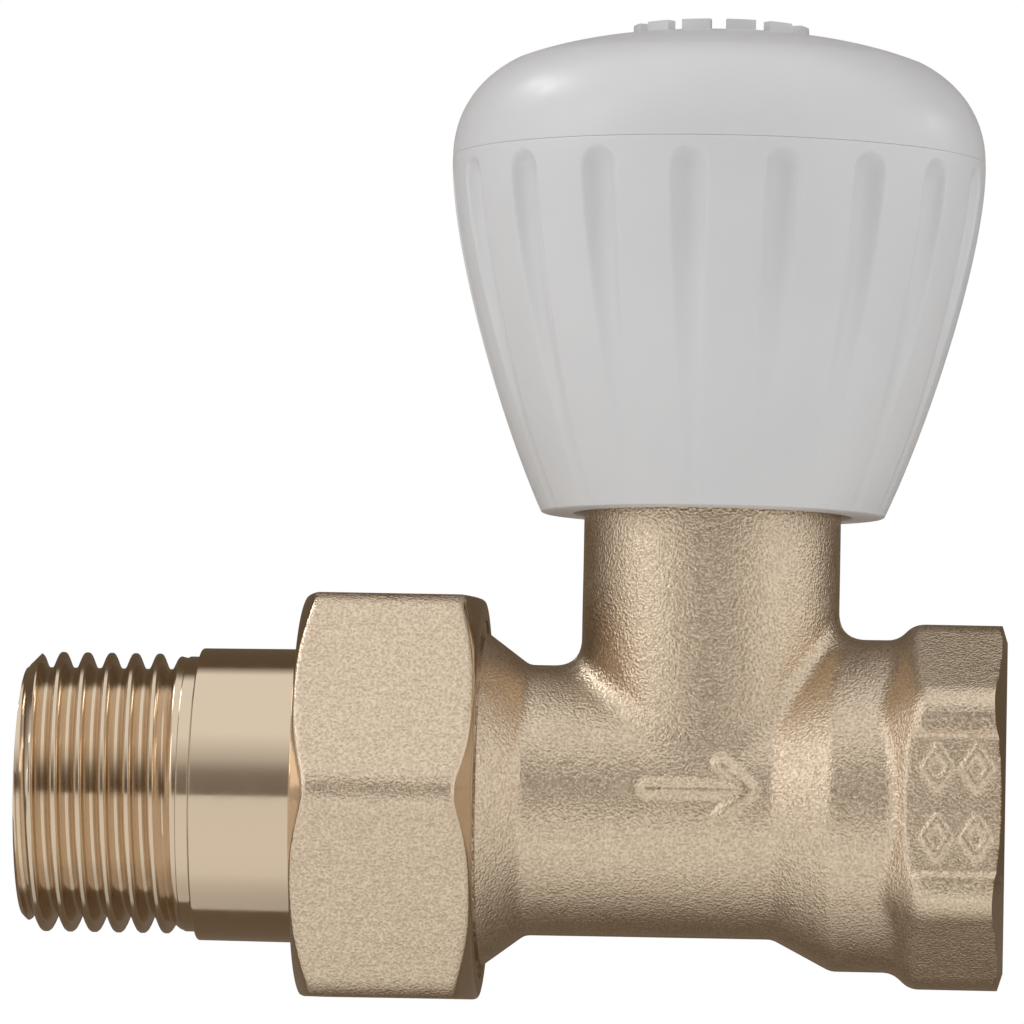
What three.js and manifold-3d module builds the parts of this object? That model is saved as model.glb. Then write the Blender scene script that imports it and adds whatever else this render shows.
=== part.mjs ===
// A straight radiator valve: a forged brass body with a female pipe socket at one end and a union with a
// male tailpiece at the other, a screw-down headwork in the neck, and a fluted plastic wheel head.
//
// Units are millimetres and +Z is up. Everything is modelled about the point where the pipe axis (X)
// crosses the spindle axis (Z). At the end the whole valve is moved along X, so that the origin is the
// centre of the pipe socket's end face.
import * as THREE from "three";
import { mergeVertices } from "three/addons/utils/BufferGeometryUtils.js";
import Module from "manifold-3d";

const wasm = await Module();
wasm.setup();

// ---------------------------------------------------------------- driving dimensions

const HALF_INCH = { major: 10.478, minor: 9.316, pitch: 1.814 }; // G 1/2 pipe thread, radii
const THREE_QUARTER_INCH = { major: 13.1, minor: 12.06, pitch: 1.814 }; // G 3/4 union thread, radii

const ROUND = 32; // facets round a large part
const THREAD = 24; // facets round a screw thread
const SMALL = 20; // facets round a small part
const RING_SECTION = 6; // facets round the section of an O-ring
const SNAP_RING = 10; // facets round a snap ring

const BODY = {
  end: -25.3, // union end face
  threadEnd: -17.7,
  barrelRadius: 10.0,
  barrelStart: -13.5,
  flareStart: 4.8,
  flareEnd: 9.6,
  bossRadius: 12.3,
  bossEnd: 13.6,
  hexStart: 15.9,
  hexFlats: 27.0,
  hexTrim: 13.5, // the two corners on the parting line are trimmed off at this height
  bevelRadius: 12.2, // the end bevel starts here on the face and falls by bevelDepth at the corners
  bevelDepth: 0.95,
  socketFace: 22.2,
  socketDepth: 13.5,
  neckRadius: 9.5,
  neckTop: 26.6,
  cavityRadius: 7.6,
  seatHeight: 1.0,
  seatRadius: 5.0,
};
const PANEL = { start: 16.6, end: 21.6, halfHeight: 5.6, depth: 0.35 };

const NUT = { left: -30.3, right: -16.8, flats: 30.0, shoulder: 2.4, chamfer: 1.2, bore: 11.25 };
const TAIL = {
  end: -51.1,
  threadEnd: -39.0,
  undercutRadius: 10.3,
  collarStart: -38.0,
  collarRadius: 11.0,
  flangeStart: -27.6,
  flangeEnd: -25.6,
  flangeRadius: 11.8,
  noseEnd: -21.7,
  noseRoot: 9.6,
  noseTip: 8.5,
  bore: 7.2,
  hexFlats: 12.6,
  hexDepth: 7.0,
  sealGroove: 7.95,
  sealCentre: -23.7,
};

const BONNET = {
  bottom: 9.6,
  threadTop: 26.75,
  top: 30.9,
  radius: 7.3,
  flats: 17.0,
  screwBore: 4.9,
  screwBoreTop: 18.0,
  sealBore: 3.9,
  glandBore: 5.9,
  glandFloor: 26.5,
};
const SPINDLE = {
  tip: 5.1,
  tipRadius: 2.4,
  screwBottom: 8.9,
  screwTop: 14.0,
  screwRadius: 4.55,
  sealRadius: 3.6,
  grooveRadius: 2.6,
  grooveHalfWidth: 0.75,
  roundTop: 34.4,
  square: 5.4,
  top: 42.5,
  screwHole: 1.6,
};
const SPINDLE_RING_HEIGHTS = { lower: 19.4, upper: 21.6 };
const DISC = { bottom: 1.6, flangeTop: 4.6, radius: 7.0, hubRadius: 4.3, top: 8.6 };
const WHEEL = {
  rimHeight: 21.5,
  rimRadius: 12.75,
  rimInner: 10.3,
  widest: 20.0,
  widestHeight: 47.8,
  seam: 48.1,
  deckTop: 46.9,
  deckBottom: 45.1,
  wall: 1.8,
  hubRadius: 6.8,
  hubBottom: 34.9,
  squareTop: 42.8,
  screwFloor: 44.0,
  recess: 5.2,
};
const FLUTES = { count: 18, depth: 0.7, top: 46.9, bottom: 27.5, phase: -4.4 };
const COLUMNS_PER_FLUTE = 3; // one column of points in the flute and two on the land beside it
const CAP = { crown: 57.75, wall: 1.5, skirtOuter: 18.05, skirtInner: 16.6, skirtBottom: 47.1 };
const CAP_MARK = { inner: 5.6, outer: 6.6, top: 58.15 };

// ---------------------------------------------------------------- materials

const finish = (color, roughness, metalness) =>
  new THREE.MeshStandardMaterial({ color, roughness, metalness });
const NICKEL_CAST = finish(0xb49c82, 0.48, 1.0);
const NICKEL_TURNED = finish(0xbfa98f, 0.22, 1.0);
const BRASS = finish(0xc9a24e, 0.3, 1.0);
const STEEL = finish(0x9a9a98, 0.3, 1.0);
const RUBBER = finish(0x1b1b1c, 0.8, 0.0);
const PTFE = finish(0xe8e6e0, 0.5, 0.0);
const ABS = finish(0xcfcfcf, 0.35, 0.0);

// ---------------------------------------------------------------- solids

// A closed three.js geometry as a manifold-3d solid with its faces pointing out.
function solidOf(geometry) {
  const loose = geometry.index ? geometry.toNonIndexed() : geometry.clone();
  loose.deleteAttribute("normal");
  loose.deleteAttribute("uv");
  const merged = mergeVertices(loose, 1e-4);
  const corners = merged.index.array;
  const kept = [];
  for (let i = 0; i < corners.length; i += 3) {
    const [a, b, c] = corners.slice(i, i + 3);
    if (a !== b && b !== c && c !== a) kept.push(a, b, c);
  }
  const vertProperties = new Float32Array(merged.attributes.position.array);
  const made = new wasm.Manifold(
    new wasm.Mesh({ numProp: 3, vertProperties, triVerts: new Uint32Array(kept) }),
  );
  if (made.volume() >= 0) return made;
  return new wasm.Manifold(
    new wasm.Mesh({ numProp: 3, vertProperties, triVerts: new Uint32Array(kept.reverse()) }),
  );
}

function geometryOf(solid) {
  const mesh = solid.getMesh();
  return new THREE.BufferGeometry()
    .setAttribute("position", new THREE.BufferAttribute(mesh.vertProperties, 3))
    .setIndex(new THREE.BufferAttribute(mesh.triVerts, 1));
}

// A solid of revolution about Z from [radius, height] points. An open profile ends on the axis.
function turned(points, facets = ROUND) {
  const path = points.map(([r, h]) => new THREE.Vector2(r, h));
  if (points[0][0] > 0) path.push(path[0].clone());
  return solidOf(new THREE.LatheGeometry(path, facets).rotateX(Math.PI / 2));
}

// The same about the pipe axis: the points are [radius, x].
const ALONG_X = new THREE.Matrix4().makeBasis(
  new THREE.Vector3(0, 1, 0),
  new THREE.Vector3(0, 0, 1),
  new THREE.Vector3(1, 0, 0),
);
const layAlongX = (solid) => solidOf(geometryOf(solid).applyMatrix4(ALONG_X));
const turnedX = (points, facets = ROUND) => layAlongX(turned(points, facets));

// A round bar along Z.
const bar = (radius, low, high, facets = SMALL) =>
  turned([[0, low], [radius, low], [radius, high], [0, high]], facets);
const barX = (radius, low, high, facets = SMALL) => layAlongX(bar(radius, low, high, facets));

// A round tube along Z, with a plain rectangular section.
const tube = (inner, outer, low, high, facets = SMALL) =>
  turned([[inner, low], [outer, low], [outer, high], [inner, high]], facets);

// A prism along Z from [x, y] corners.
function prism(corners, low, high) {
  const shape = new THREE.Shape(corners.map(([x, y]) => new THREE.Vector2(x, y)));
  const depth = high - low;
  return solidOf(
    new THREE.ExtrudeGeometry(shape, { depth, bevelEnabled: false }).translate(0, 0, low),
  );
}

// The corners of a regular polygon of that width across its flats, with a flat facing +X.
function polygon(sides, flats) {
  const radius = flats / 2 / Math.cos(Math.PI / sides);
  return Array.from({ length: sides }, (_, i) => {
    const angle = ((i + 0.5) * 2 * Math.PI) / sides;
    return [radius * Math.cos(angle), radius * Math.sin(angle)];
  });
}

function box(low, high) {
  const size = high.map((v, i) => v - low[i]);
  const middle = high.map((v, i) => (v + low[i]) / 2);
  return solidOf(new THREE.BoxGeometry(...size).translate(...middle));
}

// An O-ring about Z: the radius to the middle of its section, and the section's own radius.
const oRing = (radius, section) =>
  solidOf(new THREE.TorusGeometry(radius, section, RING_SECTION, SMALL));

// A flat ring with a gap, as a snap ring has, centred on z = 0.
function snapRing(inner, outer, thickness, gapDegrees) {
  const half = THREE.MathUtils.degToRad(gapDegrees / 2);
  const shape = new THREE.Shape();
  shape.absarc(0, 0, outer, half, 2 * Math.PI - half, false);
  shape.absarc(0, 0, inner, 2 * Math.PI - half, half, true);
  const made = new THREE.ExtrudeGeometry(shape, {
    depth: thickness,
    bevelEnabled: false,
    curveSegments: SNAP_RING,
  });
  return solidOf(made.translate(0, 0, -thickness / 2));
}

const curvePoints = (a, b, c, d, steps) =>
  new THREE.CubicBezierCurve(...[a, b, c, d].map(([x, y]) => new THREE.Vector2(x, y)))
    .getPoints(steps)
    .map((p) => [p.x, p.y]);

// ---------------------------------------------------------------- a screw thread

// A threaded bar along Z from low to high. It starts at startRadius, through a 45 degree lead-in, and runs
// out to endRadius over the last half turn. The mesh rows follow the helix.
function threadedBar(thread, low, high, startRadius, endRadius, facets) {
  const { major, minor, pitch } = thread;
  const levels = [0, 1, 1, 0]; // root, crest, crest, root over one pitch
  const places = [0.12, 0.44, 0.56, 0.88];
  const runOut = 0.5 * pitch;
  const radiusAt = (z, level) => {
    const ridge = minor + (major - minor) * level;
    const lead = startRadius + (z - low);
    const share = THREE.MathUtils.clamp((z - high + runOut) / runOut, 0, 1);
    return Math.min(lead, ridge + (endRadius - ridge) * share);
  };
  const turns = Math.ceil((high - low) / pitch) + 1;
  const rows = [];
  for (let turn = -1; turn < turns; turn++)
    places.forEach((place, i) => rows.push({ z: (turn + place) * pitch, level: levels[i] }));
  const start = [[0, low], [startRadius, low]];
  const end = [[endRadius, high], [0, high]];
  const profile = [...start, ...rows.map(() => [major, high]), ...end];
  const path = profile.map(([r, h]) => new THREE.Vector2(r, h));
  const lathe = new THREE.LatheGeometry(path, facets);
  const position = lathe.attributes.position;
  const perColumn = path.length;
  for (let column = 0; column <= facets; column++) {
    const turnShare = column / facets;
    const angle = turnShare * 2 * Math.PI;
    rows.forEach((row, i) => {
      const z = THREE.MathUtils.clamp(low + row.z + turnShare * pitch, low, high);
      const held = z === low || z === high;
      const r = held ? (z === low ? startRadius : endRadius) : radiusAt(z, row.level);
      const at = column * perColumn + 2 + i;
      position.setXYZ(at, r * Math.sin(angle), z, r * Math.cos(angle));
    });
  }
  return solidOf(lathe.rotateX(Math.PI / 2));
}

// ---------------------------------------------------------------- valve body

function bodyForging() {
  const B = BODY;
  const pipeRun = turnedX([
    [0, B.end],
    [THREE_QUARTER_INCH.minor, B.end],
    [THREE_QUARTER_INCH.major, B.end + 1.0],
    [THREE_QUARTER_INCH.major, B.threadEnd],
    [B.barrelRadius, B.barrelStart],
    [B.barrelRadius, B.flareStart],
    [B.bossRadius, B.flareEnd],
    [B.bossRadius, B.socketFace - 1],
    [0, B.socketFace - 1],
  ]);
  const neck = turned([
    [0, 0],
    [B.neckRadius, 0],
    [B.neckRadius, B.neckTop - 0.5],
    [B.neckRadius - 0.5, B.neckTop],
    [0, B.neckTop],
  ]);
  return pipeRun.add(neck).add(spannerHexagon());
}

// The hexagon round the pipe socket. Its two corners on the parting line are trimmed flat.
function spannerHexagon() {
  const B = BODY;
  const corner = B.hexFlats / 2 / Math.cos(Math.PI / 6);
  const trimmed = (corner - B.hexTrim) * Math.tan(Math.PI / 3);
  const side = B.hexFlats / 2;
  const shoulder = corner / 2;
  const corners = [
    [side, -shoulder],
    [side, shoulder],
    [trimmed, B.hexTrim],
    [-trimmed, B.hexTrim],
    [-side, shoulder],
    [-side, -shoulder],
    [-trimmed, -B.hexTrim],
    [trimmed, -B.hexTrim],
  ];
  const blank = layAlongX(prism(corners, B.bossEnd, B.socketFace));
  const envelope = turnedX([
    [0, B.bossEnd],
    [B.bossRadius, B.bossEnd],
    [corner, B.hexStart + 1.2],
    [corner, B.socketFace - B.bevelDepth],
    [B.bevelRadius, B.socketFace],
    [0, B.socketFace],
  ]);
  return blank.intersect(envelope);
}

function valveBody() {
  const B = BODY;
  const socket = turnedX([
    [0, B.socketFace - B.socketDepth],
    [HALF_INCH.minor, B.socketFace - B.socketDepth],
    [HALF_INCH.minor, B.socketFace - 1.5],
    [HALF_INCH.major + 0.3, B.socketFace],
    [HALF_INCH.major + 0.3, B.socketFace + 1],
    [0, B.socketFace + 1],
  ]);
  const unionSeat = turnedX([
    [0, B.end - 1],
    [10.1, B.end - 1],
    [10.1, B.end],
    [8.9, B.end + 3.8],
    [8.0, B.end + 4.4],
    [8.0, -12.5],
    [0, -12.5],
  ]);
  const inletWay = barX(4.6, -5.5, B.socketFace - B.socketDepth + 1).translate([0, 0, -3.8]);
  const outletWay = barX(4.2, -13.0, 0).translate([0, 0, 4.4]);
  const seatWay = bar(B.seatRadius, -3.8, B.seatHeight + 1);
  const cavity = turned([
    [0, B.seatHeight],
    [B.cavityRadius, B.seatHeight],
    [B.cavityRadius, B.neckTop - 1.5],
    [8.6, B.neckTop - 1.5],
    [8.6, B.neckTop + 1],
    [0, B.neckTop + 1],
  ]);
  const panel = box(
    [PANEL.start, -B.hexFlats / 2 - 1, -PANEL.halfHeight],
    [PANEL.end, -B.hexFlats / 2 + PANEL.depth, PANEL.halfHeight],
  );
  return [socket, unionSeat, inletWay, outletWay, seatWay, cavity, panel].reduce(
    (body, cut) => body.subtract(cut),
    bodyForging(),
  );
}

// ---------------------------------------------------------------- union

function unionNut() {
  const N = NUT;
  const corner = N.flats / 2 / Math.cos(Math.PI / 6);
  const flat = N.flats / 2 - 0.2;
  const flatsUp = polygon(6, N.flats).map(([y, z]) => [z, y]);
  const blank = layAlongX(prism(flatsUp, N.left, N.right));
  const envelope = turnedX([
    [0, N.left],
    [flat, N.left],
    [corner, N.left + N.chamfer],
    [corner, N.right - N.chamfer],
    [flat, N.right],
    [0, N.right],
  ]);
  const bore = turnedX([
    [0, N.left - 1],
    [N.bore, N.left - 1],
    [N.bore, N.left + N.shoulder],
    [THREE_QUARTER_INCH.major + 0.3, N.left + N.shoulder],
    [THREE_QUARTER_INCH.major + 0.3, N.right + 1],
    [0, N.right + 1],
  ]);
  return blank.intersect(envelope).subtract(bore);
}

function tailpiece() {
  const T = TAIL;
  const thread = layAlongX(
    threadedBar(HALF_INCH, T.end, T.threadEnd, 9.2, T.undercutRadius, THREAD),
  );
  const groove = 0.9; // half of the seal groove's width
  const run = turnedX([
    [0, T.threadEnd - 0.5],
    [T.undercutRadius, T.threadEnd - 0.5],
    [T.undercutRadius, T.collarStart],
    [T.collarRadius - 0.25, T.collarStart],
    [T.collarRadius, T.collarStart + 0.5],
    [T.collarRadius, T.flangeStart],
    [T.flangeRadius, T.flangeStart],
    [T.flangeRadius, T.flangeEnd],
    [T.noseRoot, T.flangeEnd],
    [9.2, T.sealCentre - groove],
    [T.sealGroove, T.sealCentre - groove],
    [T.sealGroove, T.sealCentre + groove],
    [8.85, T.sealCentre + groove],
    [T.noseTip, T.noseEnd],
    [0, T.noseEnd],
  ]);
  const bore = turnedX([
    [0, T.end + T.hexDepth],
    [T.bore, T.end + T.hexDepth],
    [T.bore, T.noseEnd + 1],
    [0, T.noseEnd + 1],
  ]);
  const keySocket = layAlongX(prism(polygon(6, T.hexFlats), T.end - 1, T.end + T.hexDepth + 0.5));
  const mouth = turnedX([
    [0, T.end - 1],
    [7.9, T.end - 1],
    [7.9, T.end],
    [6.3, T.end + 1.6],
    [0, T.end + 1.6],
  ]);
  return [bore, keySocket, mouth].reduce((made, cut) => made.subtract(cut), thread.add(run));
}

// ---------------------------------------------------------------- headwork

function bonnet() {
  const B = BONNET;
  const barrel = bar(B.radius, B.bottom, B.threadTop + 0.5, ROUND);
  const head = prism(polygon(6, B.flats), B.threadTop, B.top);
  const bore = turned([
    [0, B.bottom - 1],
    [B.screwBore, B.bottom - 1],
    [B.screwBore, B.screwBoreTop],
    [B.sealBore, B.screwBoreTop],
    [B.sealBore, B.glandFloor],
    [B.glandBore, B.glandFloor],
    [B.glandBore, B.top + 1],
    [0, B.top + 1],
  ]);
  return barrel.add(head).subtract(bore);
}

function spindle() {
  const S = SPINDLE;
  const groove = (height) => [
    [S.sealRadius, height - S.grooveHalfWidth],
    [S.grooveRadius, height - S.grooveHalfWidth],
    [S.grooveRadius, height + S.grooveHalfWidth],
    [S.sealRadius, height + S.grooveHalfWidth],
  ];
  const round = turned(
    [
      [0, S.tip],
      [S.tipRadius, S.tip],
      [S.tipRadius, 6.6],
      [1.75, 6.6],
      [1.75, 7.7],
      [S.tipRadius, 7.7],
      [S.tipRadius, S.screwBottom],
      [S.screwRadius, S.screwBottom + 0.4],
      [S.screwRadius, S.screwTop - 0.4],
      [S.sealRadius, S.screwTop],
      ...groove(SPINDLE_RING_HEIGHTS.lower),
      ...groove(SPINDLE_RING_HEIGHTS.upper),
      [S.sealRadius, 33.25],
      [2.4, 33.25],
      [2.4, 34.1],
      [S.sealRadius, 34.1],
      [S.sealRadius, S.roundTop],
      [0, S.roundTop],
    ],
    SMALL,
  );
  const square = prism(polygon(4, S.square), S.roundTop - 0.2, S.top);
  const screwHole = bar(S.screwHole, S.roundTop + 0.4, S.top + 1, 12);
  return round.add(square).subtract(screwHole);
}

const glandNut = () =>
  tube(3.8, 5.7, 28.1, 31.4).add(prism(polygon(6, 11.5), 31.2, 33.0).subtract(bar(3.8, 31, 34)));

function valveDisc() {
  const D = DISC;
  return turned(
    [
      [1.5, 3.1],
      [6.5, 3.1],
      [6.5, D.bottom],
      [D.radius, D.bottom],
      [D.radius, D.flangeTop - 0.5],
      [D.radius - 0.5, D.flangeTop],
      [D.hubRadius, D.flangeTop],
      [D.hubRadius, D.top],
      [2.7, D.top],
      [2.7, 7.7],
      [3.35, 7.7],
      [3.35, 6.6],
      [2.7, 6.6],
      [2.7, 4.9],
      [1.5, 4.9],
    ],
    SMALL,
  );
}

// A pan-head screw along Z with its shank down, from its tip to the top of its head.
function panScrew(shank, head, tip, seat, top) {
  const body = turned(
    [
      [0, tip],
      [shank * 0.6, tip],
      [shank, tip + shank * 0.5],
      [shank, seat],
      [head, seat],
      [head, top - 0.5],
      [head * 0.75, top],
      [0, top],
    ],
    16,
  );
  const slot = (x, y) => box([-x, -y, top - 0.8], [x, y, top + 1]);
  return body.subtract(slot(head * 0.6, 0.35)).subtract(slot(0.35, head * 0.6));
}

// ---------------------------------------------------------------- wheel head

// The wheel's outer line, from the rim at the neck up to its widest place.
const skirtLine = (inset, steps) =>
  curvePoints(
    [WHEEL.rimRadius + 0.1 - inset, WHEEL.rimHeight + 0.1],
    [16.1 - inset, 28.8],
    [WHEEL.widest - inset, 41.5],
    [WHEEL.widest - inset, WHEEL.widestHeight],
    steps,
  );

function handwheel() {
  const W = WHEEL;
  const outer = skirtLine(0, 8);
  const inner = skirtLine(W.wall, 5)
    .filter(([r, z]) => r > W.rimInner + 0.3 && z < W.deckBottom - 1)
    .reverse();
  const profile = [
    [W.rimInner, W.rimHeight + 0.2],
    [W.rimRadius - 0.4, W.rimHeight],
    ...outer,
    [W.widest, W.seam],
    [18.5, W.seam],
    [18.5, W.deckTop],
    [W.recess, W.deckTop],
    [W.recess, W.screwFloor],
    [1.7, W.screwFloor],
    [1.7, W.squareTop - 0.5],
    [1.7, W.hubBottom],
    [W.hubRadius, W.hubBottom],
    [W.hubRadius, W.deckBottom],
    [W.widest - W.wall - 0.4, W.deckBottom],
    ...inner,
    [W.rimInner, W.rimHeight + 1.6],
  ];
  const path = profile.map(([r, h]) => new THREE.Vector2(r, h));
  path.push(path[0].clone());
  const facets = FLUTES.count * COLUMNS_PER_FLUTE;
  const lathe = new THREE.LatheGeometry(path, facets).rotateX(Math.PI / 2);
  cutFlutes(lathe.attributes.position, path.length, facets, 2, 2 + outer.length);
  const square = prism(polygon(4, SPINDLE.square + 0.4), W.hubBottom - 1, W.squareTop);
  return solidOf(lathe).subtract(square);
}

// The flutes are deepest at the top and run out to nothing near the rim.
function cutFlutes(position, perColumn, facets, first, last) {
  const F = FLUTES;
  for (let column = 0; column <= facets; column++)
    for (let row = first; row < last; row++) {
      const at = column * perColumn + row;
      const z = position.getZ(at);
      const share = THREE.MathUtils.clamp((z - F.bottom) / (F.top - F.bottom), 0, 1);
      const depth = column % COLUMNS_PER_FLUTE === 0 && z < F.top ? F.depth * share : 0;
      const x = position.getX(at);
      const y = position.getY(at);
      const keep = 1 - depth / Math.hypot(x, y);
      position.setXY(at, x * keep, y * keep);
    }
}

// The dome that closes the wheel, with a plain raised ring on its crown.
function handwheelCap() {
  const C = CAP;
  const low = WHEEL.seam + 0.15;
  const shoulder = curvePoints([WHEEL.widest - 0.02, low], [20.0, 51.6], [18.0, 54.0], [15.4, 55.3], 6);
  const crown = curvePoints([15.4, 55.3], [10.5, 57.2], [5.0, C.crown], [0, C.crown], 4);
  const outer = [...shoulder, ...crown.slice(1)];
  const inner = [
    [0, C.crown - C.wall],
    [5.0, C.crown - C.wall - 0.1],
    [10.5, 55.1],
    [15.0, 53.4],
    [17.2, 51.3],
    [18.0, low + 0.8],
    [C.skirtInner, low + 0.8],
    [C.skirtInner, C.skirtBottom],
    [C.skirtOuter, C.skirtBottom],
    [C.skirtOuter, low],
  ];
  const dome = turned([...outer, ...inner, [WHEEL.widest - 0.02, low]].reverse());
  const mark = tube(CAP_MARK.inner, CAP_MARK.outer, CAP_MARK.top - 1.4, CAP_MARK.top);
  return dome.add(mark);
}

// ---------------------------------------------------------------- assembly

function piece(name, solid, material, position = [0, 0, 0]) {
  const mesh = new THREE.Mesh(geometryOf(solid), material);
  mesh.name = name;
  mesh.position.set(...position);
  return mesh;
}

const bodyAndBonnet = new THREE.Group();
bodyAndBonnet.add(
  piece("valve_body", valveBody(), NICKEL_CAST),
  piece("bonnet", bonnet(), BRASS),
  piece("bonnet_o_ring", oRing(7.95, 0.5), RUBBER, [0, 0, 26.0]),
  piece("gland_packing", tube(3.75, 5.7, 0, 1.2), PTFE, [0, 0, 26.7]),
  piece("gland_nut", glandNut(), BRASS),
);

const discAssembly = new THREE.Group();
discAssembly.add(
  piece("valve_disc", valveDisc(), BRASS),
  piece("seat_washer", tube(1.7, 6.3, 0, 1.8), RUBBER, [0, 0, BODY.seatHeight + 0.1]),
  piece("disc_clip", snapRing(1.95, 3.1, 0.6, 60), STEEL, [0, 0, 7.15]),
);
const washerScrew = panScrew(1.3, 2.6, -4.4, -1.0, 0.05);
const upsideDown = piece("disc_screw", washerScrew, STEEL);
upsideDown.rotation.x = Math.PI;
discAssembly.add(upsideDown);

const spindleAndWheel = new THREE.Group();
spindleAndWheel.rotation.z = THREE.MathUtils.degToRad(FLUTES.phase);
spindleAndWheel.add(
  piece("spindle", spindle(), BRASS),
  piece("spindle_o_ring_lower", oRing(3.2, 0.48), RUBBER, [0, 0, SPINDLE_RING_HEIGHTS.lower]),
  piece("spindle_o_ring_upper", oRing(3.2, 0.48), RUBBER, [0, 0, SPINDLE_RING_HEIGHTS.upper]),
  piece("spindle_snap_ring", snapRing(2.55, 4.6, 0.5, 70), STEEL, [0, 0, 33.75]),
  piece("handwheel", handwheel(), ABS),
  piece("handwheel_cap", handwheelCap(), ABS),
  piece("screw_washer", tube(1.6, 3.6, 0, 0.6), STEEL, [0, 0, WHEEL.screwFloor + 0.1]),
  piece("handwheel_screw", panScrew(1.35, 2.8, 36.0, 44.8, 46.6), STEEL),
);

const unionAssembly = new THREE.Group();
unionAssembly.add(
  piece("tailpiece", tailpiece(), NICKEL_TURNED),
  piece("union_nut", unionNut(), NICKEL_CAST),
  piece("union_o_ring", layAlongX(oRing(8.72, 0.62)), RUBBER, [TAIL.sealCentre, 0, 0]),
);

const valve = new THREE.Group();
valve.add(bodyAndBonnet, discAssembly, spindleAndWheel, unionAssembly);
valve.position.x = -BODY.socketFace;

const part = new THREE.Group();
part.add(valve);
export default part;
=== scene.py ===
"""A straight radiator valve in nickel-plated brass with a fluted plastic wheel head.

Lengths are in millimetres until a mesh is made. Pieces are drawn about the point where the pipe
axis (X) crosses the spindle axis (Z), and put() moves them into the frame. An outline to revolve
is a closed list of points, each a radius and a height along the axis.
"""
import math

import bpy
import numpy as np
import openvdb
from mathutils import Matrix, Vector


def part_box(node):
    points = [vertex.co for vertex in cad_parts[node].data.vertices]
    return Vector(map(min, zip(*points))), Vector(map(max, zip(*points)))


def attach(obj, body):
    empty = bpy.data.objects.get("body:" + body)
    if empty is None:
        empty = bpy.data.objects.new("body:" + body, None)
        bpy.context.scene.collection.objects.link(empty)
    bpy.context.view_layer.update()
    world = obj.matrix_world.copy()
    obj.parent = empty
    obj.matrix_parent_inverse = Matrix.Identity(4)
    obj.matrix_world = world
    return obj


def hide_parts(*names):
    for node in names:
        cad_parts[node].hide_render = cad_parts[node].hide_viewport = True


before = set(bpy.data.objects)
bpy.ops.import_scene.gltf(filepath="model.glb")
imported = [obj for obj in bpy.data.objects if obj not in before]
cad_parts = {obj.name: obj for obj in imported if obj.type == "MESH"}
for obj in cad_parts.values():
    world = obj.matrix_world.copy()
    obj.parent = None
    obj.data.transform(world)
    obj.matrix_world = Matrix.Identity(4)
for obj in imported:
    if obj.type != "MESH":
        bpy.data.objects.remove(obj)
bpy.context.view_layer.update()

MM = 0.001
spindle_low, spindle_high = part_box("spindle")
CENTRE_X = (spindle_low.x + spindle_high.x) / 2 / MM  # the spindle axis, in the frame


# ------------------------------------------------------------------ dimensions


def node_box(name):
    """A CAD node's lowest and highest corners in millimetres about the valve's centre."""
    low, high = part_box(name)
    shift = np.array([CENTRE_X, 0, 0])
    return np.array(low) / MM - shift, np.array(high) / MM - shift


BODY_LOW, BODY_HIGH = node_box("valve_body")
NUT_LOW, NUT_HIGH = node_box("union_nut")
TAIL_LOW, TAIL_HIGH = node_box("tailpiece")
WHEEL_LOW, WHEEL_HIGH = node_box("handwheel")
CAP_HIGH = node_box("handwheel_cap")[1]

# Screw threads, by the radii of their crests and roots.
HALF_INCH = {"major": 10.478, "minor": 9.316, "pitch": 1.814}  # G 1/2, on the tailpiece
HALF_INCH_SOCKET = {"major": 10.528, "minor": 9.316, "pitch": 1.814}
THREE_QUARTER_INCH = {"major": 13.1, "minor": 12.0, "pitch": 1.814}  # G 3/4, under the union nut
NUT_THREAD = {"major": 13.4, "minor": 12.35, "pitch": 1.814}
SPINDLE_SCREW = {"major": 4.5, "minor": 3.75, "pitch": 1.5}
BONNET_INSIDE = {"major": 4.75, "minor": 3.95, "pitch": 1.5}
BONNET_OUTSIDE = {"major": 7.35, "minor": 6.8, "pitch": 1.0}

# The body, along the pipe from the union end to the socket.
UNION_END = BODY_LOW[0]
UNION_THREAD_END = -17.6
CONE_END_RADIUS = 13.1
BARREL_RADIUS = 10.0
BOSS_RADIUS = 12.3
HEX_START = 14.0
HEX_HALF_FLATS = 13.5
HEX_SLOPE = 0.92  # the rise of the hexagon's shoulder
HEX_ROUND = 0.35  # how far the shoulder is round and not six-sided, from 0 to 1
SOCKET_FACE = BODY_HIGH[0]
END_BEVEL_RADIUS = 12.3
END_BEVEL_SLOPE = 0.31
NECK_TOP = BODY_HIGH[2]
NECK_RADIUS = 9.5
NECK_FILLET = 2.1  # at the neck's sides
NECK_FILLET_LOSS = 0.72  # the share of it that is gone at the neck's front and back
NECK_FOOT = 1.0  # blend length of the neck's lower end, inside the barrel
HEX_FILLET = 0.5
FORGED_EDGE = 0.8  # blend length of a forged edge
FLASH = {"height": 0.10, "width": 0.28}  # what is left of the flash where the dies met
BODY_WAVES = (4.3, 0.03)  # how long and how deep a forged surface's slow waves are

# The ways from the pipe's bores to the seat, as low x, high x, radius and height.
WATER_WAYS = ((-5.5, 9.7, 4.6, -3.8), (-13.0, 0.0, 4.2, 4.4))

# The marks on the body's front. Both are ridges with sloping sides.
FRONT = -5.0  # marks are only on the side where y is below this
MARK_ROUNDNESS = 1.3
PANEL = {"low": 15.0, "high": 23.0, "bottom": -5.2, "top": 5.1, "depth": 0.32}
PANEL_CORNER = 0.9
PANEL_EDGE = 0.35
MARKS = {"across": 0.95, "up": 1.4, "half": 0.44, "relief": 0.22}
MARK_ROWS = (2.6, -2.5)
MARK_PLACES = (17.2, 20.1)
ARROW = {"tail": -4.2, "tip": 3.5, "head": 2.3, "height": 0.75, "half": 0.75, "relief": 0.36}
ARROW_HALF_SPREAD = 2.0
ARROW_SHAFT_END = 3.1

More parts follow.
